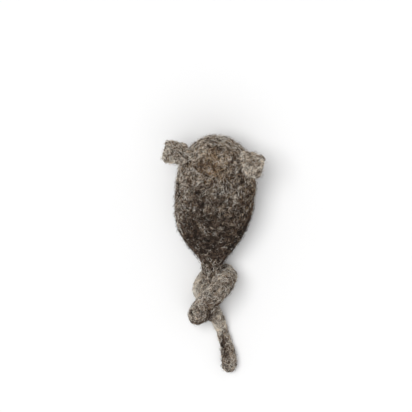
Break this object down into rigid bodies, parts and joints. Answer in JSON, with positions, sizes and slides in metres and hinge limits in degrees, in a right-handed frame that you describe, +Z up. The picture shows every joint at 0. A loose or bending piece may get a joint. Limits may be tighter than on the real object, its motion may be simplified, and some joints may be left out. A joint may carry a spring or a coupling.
{
  "type": "catnip mouse cat toy",
  "caption": "Felted wool toy mouse with a stuffed egg-shaped body, felt flap ears and a thick felted tail tied in an overhand knot.",
  "frame": {"origin": "on the flat of the belly, under the body's widest section", "axes": "+Y towards the nose, +Z up out of the back, +X to the mouse's right"},
  "size_m": [0.0441, 0.1021, 0.0303],
  "materials": {
    "body_felt": "heathered grey-brown felted wool, matt and fuzzy",
    "ear_felt": "paler heathered felted wool, matt and fuzzy",
    "tail_felt": "heathered felted wool cord, matt and fuzzy",
    "loose_wool": "carded off-white wool",
    "dried_catnip": "crumbled dry leaf"
  },
  "bodies": {
    "body": {"felt_shell": "body_felt", "wool_stuffing": "loose_wool", "catnip_wad": "dried_catnip"},
    "left_ear": {"left_ear": "ear_felt"},
    "right_ear": {"right_ear": "ear_felt"},
    "tail_root": {"tail_root": "tail_felt"},
    "tail_knot": {"tail_knot": "tail_felt"},
    "tail_tip": {"tail_tip": "tail_felt"}
  },
  "joints": [
    {"name": "left_ear_fold", "type": "hinge", "parent": "body", "child": "left_ear", "pos_m": [-0.01304, 0.0145, 0.02149], "axis": [0.1047, 0.9357, -0.3368], "range_deg": [-35, 60], "stiffness_Nm_per_rad": 0.0006},
    {"name": "right_ear_fold", "type": "hinge", "parent": "body", "child": "right_ear", "pos_m": [0.01179, 0.01294, 0.02424], "axis": [-0.3298, -0.8593, 0.391], "range_deg": [-15, 60], "stiffness_Nm_per_rad": 0.0006},
    {"name": "tail_lift", "type": "hinge", "parent": "body", "child": "tail_root", "pos_m": [0, -0.0314, 0.0128], "axis": [-1, 0, 0], "range_deg": [-20, 55]},
    {"name": "tail_swing", "type": "hinge", "parent": "tail_root", "child": "tail_knot", "pos_m": [0, -0.0314, 0.0128], "axis": [0, 0, 1], "range_deg": [-40, 30]},
    {"name": "tip_swing", "type": "hinge", "parent": "tail_knot", "child": "tail_tip", "pos_m": [0.0042, -0.0572, 0.0034], "axis": [0, 0, 1], "range_deg": [-50, 50]}
  ]
}
